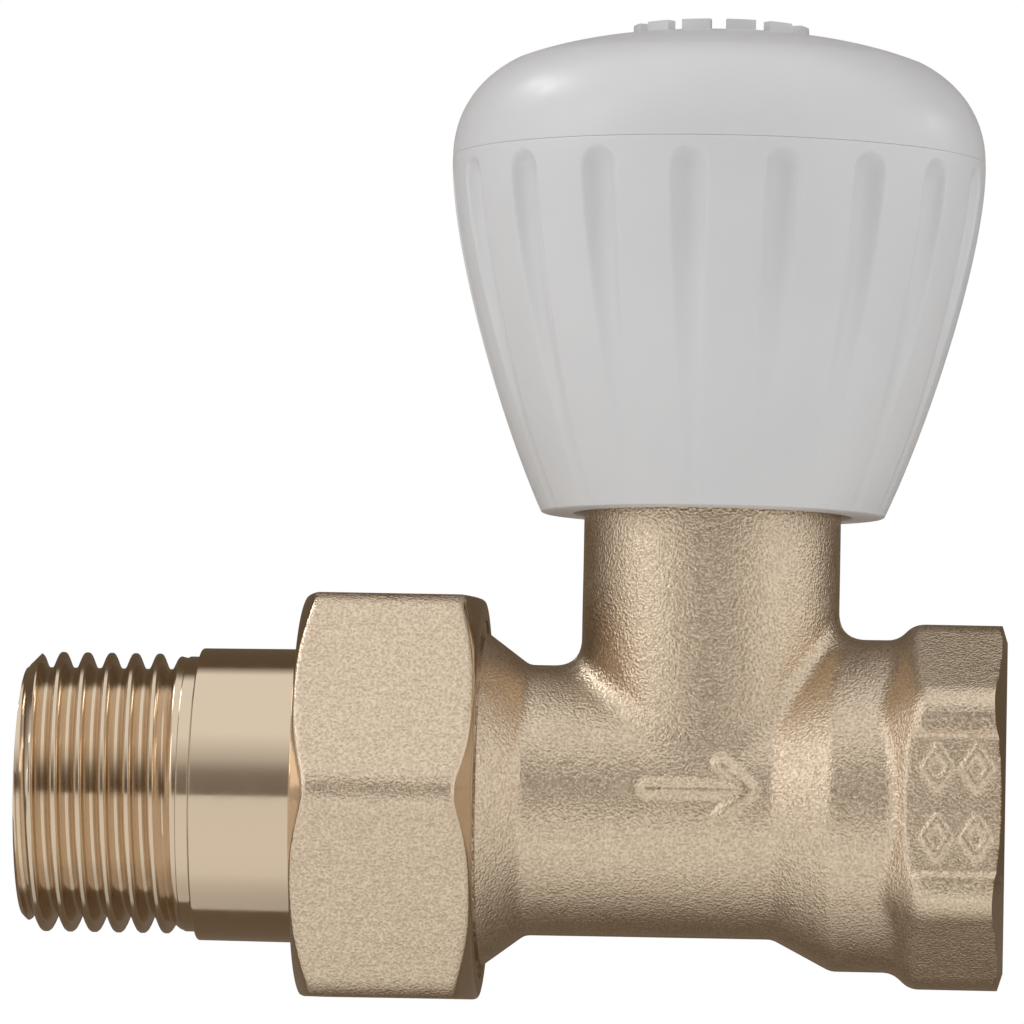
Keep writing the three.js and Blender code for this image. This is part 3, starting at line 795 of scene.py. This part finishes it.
def bonnet():
    barrel = [(0, 9.6), (7.3, 9.6), (7.3, 18.2), (6.9, 18.6), (6.9, 27.2), (0, 27.2)]
    made = lathe("bonnet_barrel", barrel, 0.25)
    ends = (6.8, 6.9)
    outside = screw("bonnet_thread", BONNET_OUTSIDE, 18.6, 25.2, ends, columns=96, along="Z")
    combine(made, [outside, nut_head("bonnet_head", 8.5, 26.75, 30.9)], "UNION")
    bore = [
        (0, 9.0),
        (4.9, 9.0),
        (4.9, 12.6),
        (3.85, 13.6),
        (3.85, 18.0),
        (3.9, 18.0),
        (3.9, 26.5),
        (5.9, 26.5),
        (5.9, 32.0),
        (0, 32.0),
    ]
    ends = (4.6, 4.6)
    inside = screw("inside", BONNET_INSIDE, 12.7, 18.0, ends, False, 64, phase=0.49, along="Z")
    combine(made, [lathe("bore", bore, 0.1), inside], "DIFFERENCE")
    return smooth(made, 30)


def gland_nut():
    made = lathe("gland_tube", [(0, 28.1), (5.7, 28.1), (5.7, 31.4), (0, 31.4)])
    combine(made, [nut_head("gland_head", 5.75, 31.2, 33.0)], "UNION")
    combine(made, [lathe("bore", [(0, 27), (3.8, 27), (3.8, 34), (0, 34)])], "DIFFERENCE")
    return smooth(made, 30)


def spindle():
    tip = [(0, 5.1), (2.4, 5.1), (2.4, 6.6), (1.75, 6.6), (1.75, 7.7), (2.4, 7.7), (2.4, 8.9)]
    tip.append((3.6, 8.95))
    grooves = []
    for height in (19.4, 21.6):
        for radius, step in ((3.6, -0.75), (2.6, -0.75), (2.6, 0.75), (3.6, 0.75)):
            grooves.append((radius, height + step))
    top = [(3.6, 33.25), (2.4, 33.25), (2.4, 34.1), (3.6, 34.1), (3.6, 34.4), (0, 34.4)]
    made = lathe("spindle_round", tip + grooves + top)
    thread = screw("thread", SPINDLE_SCREW, 8.9, 14.0, (3.65, 3.6), columns=64, along="Z")
    square = put("square", *prism(polygon(4, 2.7, 0.5 + FLUTE_TURN / 90), 34.2, 42.5))
    chamfer = lathe("chamfer", [(0, 33), (3.85, 33), (3.85, 42.1), (3.4, 42.5), (0, 42.5)], 0.02)
    combine(square, [chamfer], "INTERSECT")
    combine(made, [thread, square], "UNION")
    hole = [(0, 34.8), (1.3, 35.6), (1.3, 42.2), (1.6, 43), (0, 43)]
    combine(made, [lathe("hole", hole)], "DIFFERENCE")
    return smooth(made, 30)


def valve_disc():
    holder = [(1.5, 3.1), (6.5, 3.1), (6.5, 1.6), (7.0, 1.6), (7.0, 4.1), (6.5, 4.6)]
    sleeve = [(4.3, 4.6), (4.3, 8.6), (2.7, 8.6), (2.7, 7.7), (3.35, 7.7), (3.35, 6.6)]
    hollow = [(2.7, 6.6), (2.7, 4.9), (1.5, 4.9)]
    return smooth(lathe("disc_turned", holder + sleeve + hollow), 30)


def snap_ring(name, inner, outer, height, thickness, gap):
    """A flat ring with a gap, in degrees. It is wider at its ends, where it is pressed open."""
    half = math.radians(gap / 2)
    turns = np.linspace(half, 2 * math.pi - half, 73)
    swell = 1 + 0.04 * np.cos(turns)
    arc = np.column_stack([np.cos(turns), np.sin(turns)])
    outer_line = arc * (outer * swell / 1.04)[:, None]
    inner_line = arc[::-1] * inner
    low, high = height - thickness / 2, height + thickness / 2
    return smooth(put(name, *prism([*outer_line, *inner_line], low, high)), 30)


def pan_screw(shank, head, tip, seat, top, down=False):
    """A cross-recessed pan-head screw along Z, head up unless it is turned down."""
    under = [(0, seat - 0.2), (shank - 0.2, seat - 0.2), (shank, seat), (head, seat)]
    dome = [(head, seat + 0.5), (0.93 * head, top - 0.25), (0.72 * head, top), (0, top)]
    made = lathe("screw_head", under + dome, 0.1, 64)
    thread = {"major": shank, "minor": 0.8 * shank, "pitch": 0.35 * shank}
    ends = (0.5 * shank, 0.85 * shank)
    combine(made, [screw("shank", thread, tip, seat - 0.05, ends, columns=48, along="Z")], "UNION")
    cross = []
    for x, y in ((0.58 * head, 0.14 * head), (0.14 * head, 0.58 * head)):
        cross.append(put("slot", *prism([(-x, -y), (x, -y), (x, y), (-x, y)], top - 0.7, top + 1)))
    combine(made, cross, "DIFFERENCE")
    if down:
        made.data.transform(Matrix.Scale(-1, 4, (0, 0, 1)) @ Matrix.Scale(-1, 4, (0, 1, 0)))
    return smooth(made, 30)


# ------------------------------------------------------------------ shader nodes


class Nodes:
    """Helpers for building a node tree."""

    def __init__(self, tree):
        self.tree = tree

    def node(self, kind, **settings):
        made = self.tree.nodes.new(kind)
        for name, value in settings.items():
            setattr(made, name, value)
        return made

    def link(self, source, target):
        self.tree.links.new(source, target)

    def math(self, operation, *values):
        made = self.node("ShaderNodeMath", operation=operation)
        for socket, value in zip(made.inputs, values):
            if isinstance(value, (int, float)):
                socket.default_value = value
            else:
                self.link(value, socket)
        return made.outputs["Value"]

    def span(self, source, low, high, to_low=0.0, to_high=1.0):
        """source, with low to high mapped to to_low to to_high and held there beyond them."""
        made = self.node("ShaderNodeMapRange")
        self.link(source, made.inputs["Value"])
        numbers = {"From Min": low, "From Max": high, "To Min": to_low, "To Max": to_high}
        for name, value in numbers.items():
            made.inputs[name].default_value = value
        return made.outputs["Result"]


class Surface(Nodes):
    """A Principled material."""

    def __init__(self, name, colour, roughness, metallic=0.0):
        self.made = bpy.data.materials.new(name)
        self.made.use_nodes = True
        super().__init__(self.made.node_tree)
        self.shader = self.tree.nodes["Principled BSDF"]
        self.set("Base Color", (*colour, 1))
        self.set("Roughness", roughness)
        self.set("Metallic", metallic)
        self.place = self.node("ShaderNodeTexCoord").outputs["Object"]

    def set(self, socket, value):
        self.shader.inputs[socket].default_value = value

    def noise(self, grain_mm, detail=3.0, rough=0.55, place=None):
        made = self.node("ShaderNodeTexNoise")
        self.link(place or self.place, made.inputs["Vector"])
        made.inputs["Scale"].default_value = 1000.0 / grain_mm
        made.inputs["Detail"].default_value = detail
        made.inputs["Roughness"].default_value = rough
        return made.outputs["Fac"]

    def stretch(self, factors):
        made = self.node("ShaderNodeVectorMath", operation="MULTIPLY")
        self.link(self.place, made.inputs[0])
        made.inputs[1].default_value = factors
        return made.outputs[0]

    def attribute(self, name):
        return self.node("ShaderNodeAttribute", attribute_name=name).outputs["Fac"]

    def shades(self, source, dark, light, low=0.35, high=0.65):
        made = self.node("ShaderNodeValToRGB")
        made.color_ramp.elements[0].position = low
        made.color_ramp.elements[1].position = high
        made.color_ramp.elements[0].color = (*dark, 1)
        made.color_ramp.elements[1].color = (*light, 1)
        self.link(source, made.inputs["Fac"])
        return made.outputs["Color"]

    def colour(self, source):
        self.link(source, self.shader.inputs["Base Color"])

    def roughness(self, source):
        self.link(source, self.shader.inputs["Roughness"])

    def bump(self, source, height_mm, after=None):
        made = self.node("ShaderNodeBump")
        made.inputs["Distance"].default_value = height_mm * MM
        self.link(source, made.inputs["Height"])
        if after is not None:
            self.link(after, made.inputs["Normal"])
        return made.outputs["Normal"]

    def finish(self, normal):
        self.link(normal, self.shader.inputs["Normal"])
        return self.made


# ------------------------------------------------------------------ camera, lights, floor


def look_at(thing, target, roll=0.0):
    """Turns a camera or lamp to face a point. roll is in degrees."""
    way = Vector(target) - thing.location
    turn = way.to_track_quat("-Z", "Y").to_matrix().to_4x4()
    place = Matrix.Translation(thing.location)
    thing.matrix_world = place @ turn @ Matrix.Rotation(math.radians(roll), 4, "Z")


def at(x, y, z):
    """A place in millimetres about the valve's centre, as a point in the frame."""
    return Vector(((x + CENTRE_X) * MM, y * MM, z * MM))


CAMERA = {"at": at(22, -650, -17), "aim": at(-15.05, 0, 21.55), "lens": 306, "roll": 1.12}


def camera():
    lens = bpy.data.cameras.new("camera")
    lens.lens = CAMERA["lens"]
    lens.sensor_width = 36
    lens.clip_start = 0.01
    made = bpy.data.objects.new("camera", lens)
    bpy.context.scene.collection.objects.link(made)
    made.location = CAMERA["at"]
    look_at(made, CAMERA["aim"], CAMERA["roll"])
    bpy.context.scene.camera = made


def softbox(name, way, distance, width, height, radiance):
    """A rectangular light in the direction way. Its power follows from its face's brightness."""
    lamp = bpy.data.lights.new(name, "AREA")
    lamp.shape = "RECTANGLE"
    lamp.size, lamp.size_y = width, height
    lamp.energy = radiance * math.pi * width * height
    made = bpy.data.objects.new(name, lamp)
    bpy.context.scene.collection.objects.link(made)
    middle = at(0, 0, 20)
    made.location = middle + Vector(way).normalized() * distance
    look_at(made, middle)


def floor():
    """A sheet of pale paper, and behind the valve a dark card of painted shade that only the
    valve's reflections show.
    """
    for name, low, high, z in (("floor", -1500, 900, -60), ("painted_shade_card", 8, 900, -58)):
        points, faces = prism([(low, z), (high, z), (high, z - 1), (low, z - 1)], -1500, 1500)
        made = put(name, points[:, [2, 0, 1]], faces, paper() if name == "floor" else painted_shade_card())
    # The card is painted shade for the unlit floor behind the valve: only reflections see it.
    made.visible_camera = made.visible_diffuse = made.visible_shadow = False


# Painted shade: a dark brown card standing for the unlit floor behind the valve.
def painted_shade_card():
    return Surface("painted_shade_card", (0.20, 0.155, 0.11), 0.9).made


def paper():
    """Pale paper with a painted shadow just below the valve, glowing a little as painted light."""
    it = Surface("floor_paper", (0.92, 0.92, 0.91), 0.8)
    # A painted shadow: the paper is darker close under the valve, and the patch is longer along the
    # pipe.
    away = it.node("ShaderNodeVectorMath", operation="LENGTH")
    it.link(it.stretch((0.25, 1.0, 0.0)), away.inputs[0])
    shadow = it.span(away.outputs["Value"], 0.008, 0.036, 0.0, 1.0)
    it.colour(it.shades(shadow, (0.45, 0.43, 0.40), (0.90, 0.90, 0.89), 0.0, 1.0))
    # Painted light: the paper glows a little, to brighten the valve's underside.
    it.set("Emission Color", (1, 1, 1, 1))
    it.set("Emission Strength", 0.15)
    return it.made


# Broad lights that only reflections and soft light see. Each is brightest in its own direction.
# "edge" is where it starts and peaks, and "back" where it dies away behind the valve, as cosines.
SOFTBOXES = [
    {"way": (0, -0.12, 0.99), "edge": (0.19, 0.98), "back": (-0.5, -0.3), "bright": 1.30},
    {"way": (-0.88, -0.47, 0.10), "edge": (0.58, 0.93), "bright": 0.74},
    {"way": (0.97, -0.24, 0.08), "edge": (0.66, 0.95), "bright": 1.5},
]
ROOM = (0.13, 0.097, 0.066)
FRONTWARD = (0, -1, 0)
FRONT_GAP = {"edge": (0.86, 0.98), "bright": 0.35}  # the room is darker straight in front


class Sky(Nodes):
    """The studio's brightness by direction."""

    def __init__(self, tree):
        super().__init__(tree)
        self.way = self.node("ShaderNodeTexCoord").outputs["Generated"]

    def along(self, direction):
        made = self.node("ShaderNodeVectorMath", operation="DOT_PRODUCT")
        self.link(self.way, made.inputs[0])
        made.inputs[1].default_value = Vector(direction).normalized()
        return made.outputs["Value"]

    def brightness(self):
        total = 0.0
        for box in SOFTBOXES:
            lobe = self.span(self.along(box["way"]), *box["edge"], 0, box["bright"])
            if "back" in box:
                fade = self.span(self.along(FRONTWARD), *box["back"])
                lobe = self.math("MULTIPLY", lobe, fade)
            total = self.math("MAXIMUM", total, lobe)
        front = self.span(self.along(FRONTWARD), *FRONT_GAP["edge"], 1, FRONT_GAP["bright"])
        return self.math("MULTIPLY", total, front)


def surroundings():
    """A plain white world to look at, and a studio for the valve to reflect."""
    world = bpy.data.worlds.new("studio")
    bpy.context.scene.world = world
    world.use_nodes = True
    world.node_tree.nodes.clear()
    sky = Sky(world.node_tree)
    tone = sky.node("ShaderNodeMix", data_type="RGBA")
    tone.inputs["A"].default_value = (*ROOM, 1)
    tone.inputs["B"].default_value = (1, 1, 1, 1)
    sky.link(sky.brightness(), tone.inputs["Factor"])
    lit = sky.node("ShaderNodeBackground")
    sky.link(tone.outputs["Result"], lit.inputs["Color"])
    seen = sky.node("ShaderNodeBackground")
    seen.inputs["Color"].default_value = (1, 1, 1, 1)
    mix = sky.node("ShaderNodeMixShader")
    sky.link(sky.node("ShaderNodeLightPath").outputs["Is Camera Ray"], mix.inputs["Fac"])
    sky.link(lit.outputs[0], mix.inputs[1])
    sky.link(seen.outputs[0], mix.inputs[2])
    sky.link(mix.outputs[0], sky.node("ShaderNodeOutputWorld").inputs["Surface"])


def studio():
    softbox("key_left", (-0.69, 0.235, 0.69), 1.0, 0.34, 0.2, 5.4)
    softbox("key_right", (0.85, 0.38, 0.37), 1.0, 0.14, 0.14, 4.2)
    softbox("side_left", (-0.90, -0.32, 0.28), 1.0, 0.3, 0.45, 0.9)
    softbox("strip_left", (-0.74, -0.52, 0.42), 1.0, 0.15, 0.5, 2.1)
    surroundings()
    floor()
    bpy.context.scene.view_settings.view_transform = "Standard"


# ------------------------------------------------------------------ materials


def forged_nickel():
    """Nickel over the forging's grain and painted glints, smooth where the forging was machined."""
    it = Surface("forged_nickel", (0.67, 0.537, 0.395), 0.33, 1.0)
    machined = it.attribute("machined")
    rough = it.span(it.noise(1.7, 3), 0.3, 0.7, 0.28, 0.35)
    it.roughness(it.math("MULTIPLY", rough, it.span(machined, 0, 1, 1, 0.45)))
    grain_and_glints = it.math("SUBTRACT", it.noise(0.2, 1.3, 0.5), 0.5)
    grain_and_glints = it.math("MULTIPLY_ADD", grain_and_glints, it.span(machined, 0, 1, 1, 0), 0.5)
    # The grain's light and dark tone is partly its own and partly painted glints and shade of its
    # pebbles.
    it.colour(it.shades(grain_and_glints, (0.545, 0.43, 0.31), (0.80, 0.66, 0.50), 0.33, 0.68))
    coarse = it.bump(it.noise(1.1, 1.5, 0.5), 0.03)
    return it.finish(it.bump(grain_and_glints, 0.085, coarse))


def turned_nickel():
    it = Surface("turned_nickel", (0.68, 0.55, 0.41), 0.1, 1.0)
    threaded = it.attribute("threaded")
    rings = it.noise(0.09, 2.0, 0.6, it.stretch((1.0, 0.04, 0.04)))
    rough = it.span(it.noise(1.6, 3), 0.3, 0.7, 0.08, 0.14)
    it.roughness(it.math("MULTIPLY", rough, it.span(threaded, 0, 1, 1, 1.5)))
    return it.finish(it.bump(rings, 0.0012))


def wheel_plastic():
    it = Surface("wheel_plastic", (0.70, 0.705, 0.715), 0.33)
    it.colour(it.shades(it.noise(9, 2), (0.69, 0.695, 0.71), (0.71, 0.715, 0.73)))
    it.roughness(it.span(it.noise(1.3, 3), 0.3, 0.7, 0.28, 0.38))
    waves = it.bump(it.noise(2.6, 2, 0.4), 0.015)
    return it.finish(it.bump(it.noise(0.18, 2.0, 0.5), 0.0018, waves))


def bare_brass():
    it = Surface("bare_brass", (0.80, 0.60, 0.27), 0.24, 1.0)
    it.roughness(it.span(it.noise(0.8, 3), 0.3, 0.7, 0.18, 0.30))
    return it.finish(it.bump(it.noise(0.08, 2.0, 0.6, it.stretch((0.05, 0.05, 1.0))), 0.0015))


def spring_steel():
    it = Surface("spring_steel", (0.52, 0.52, 0.53), 0.28, 1.0)
    it.roughness(it.span(it.noise(0.6, 3), 0.3, 0.7, 0.22, 0.36))
    return it.finish(it.bump(it.noise(0.12, 2.0), 0.0015))


def seal_rubber():
    it = Surface("seal_rubber", (0.022, 0.022, 0.023), 0.62)
    it.roughness(it.span(it.noise(0.5, 3), 0.3, 0.7, 0.55, 0.7))
    return it.finish(it.bump(it.noise(0.15, 2.0), 0.003))


def gland_ptfe():
    it = Surface("gland_ptfe", (0.82, 0.81, 0.77), 0.5)
    it.roughness(it.span(it.noise(0.5, 3), 0.3, 0.7, 0.42, 0.56))
    return it.finish(it.bump(it.noise(0.2, 2.0), 0.002))


def dress(made, material, slot, body, *nodes):
    """Gives a piece its material and body, and puts it in the place of CAD nodes."""
    made.data.materials.clear()
    made.data.materials.append(material)
    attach(made, body)
    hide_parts(*nodes)


def build():
    """Makes every piece. Each row is a CAD node, its piece, material, slot and body."""
    metal, turned, plastic = forged_nickel(), turned_nickel(), wheel_plastic()
    brass, steel, rubber, ptfe = bare_brass(), spring_steel(), seal_rubber(), gland_ptfe()
    pieces = [
        ("valve_body", valve_body(), metal, "forged_nickel", "body"),
        ("bonnet", bonnet(), brass, "bare_brass", "body"),
        ("bonnet_o_ring", o_ring("r", 7.95, 0.5, 26.0), rubber, "seal_rubber", "body"),
        ("gland_packing", ring("r", 3.75, 5.7, 26.7, 27.9), ptfe, "gland_ptfe", "body"),
        ("gland_nut", gland_nut(), brass, "bare_brass", "body"),
        ("valve_disc", valve_disc(), brass, "bare_brass", "closing_disc"),
        ("seat_washer", ring("r", 1.7, 6.3, 1.1, 2.9, 0.3), rubber, "seal_rubber", "closing_disc"),
        (
            "disc_clip",
            snap_ring("r", 1.95, 3.1, 7.15, 0.6, 60),
            steel,
            "spring_steel",
            "closing_disc",
        ),
        ("spindle", spindle(), brass, "bare_brass", "wheel_head"),
        ("spindle_o_ring_lower", o_ring("r", 3.2, 0.48, 19.4), rubber, "seal_rubber", "wheel_head"),
        ("spindle_o_ring_upper", o_ring("r", 3.2, 0.48, 21.6), rubber, "seal_rubber", "wheel_head"),
        (
            "spindle_snap_ring",
            snap_ring("r", 2.55, 4.6, 33.75, 0.5, 70),
            steel,
            "spring_steel",
            "wheel_head",
        ),
        ("handwheel", handwheel(), plastic, "wheel_plastic", "wheel_head"),
        ("handwheel_cap", handwheel_cap(), plastic, "wheel_plastic", "wheel_head"),
        ("screw_washer", ring("r", 1.6, 3.6, 44.1, 44.7), steel, "spring_steel", "wheel_head"),
        ("tailpiece", tailpiece(), turned, "turned_nickel", "tailpiece"),
        ("union_nut", union_nut(), metal, "forged_nickel", "union_nut"),
    ]
    washer_screw = pan_screw(1.3, 2.6, -4.4, -1.0, 0.05, down=True)
    wheel_screw = pan_screw(1.35, 2.8, 36.0, 44.8, 46.6)
    seal = o_ring("r", 8.72, 0.62, TAIL_HIGH[0] - 2.0, "X")
    pieces += [
        ("disc_screw", washer_screw, steel, "spring_steel", "closing_disc"),
        ("handwheel_screw", wheel_screw, steel, "spring_steel", "wheel_head"),
        ("union_o_ring", seal, rubber, "seal_rubber", "union_seal"),
    ]
    for node, made, material, slot, body in pieces:
        made.name = made.data.name = node + "_visual"
        dress(made, material, slot, body, node)


build()
camera()
studio()
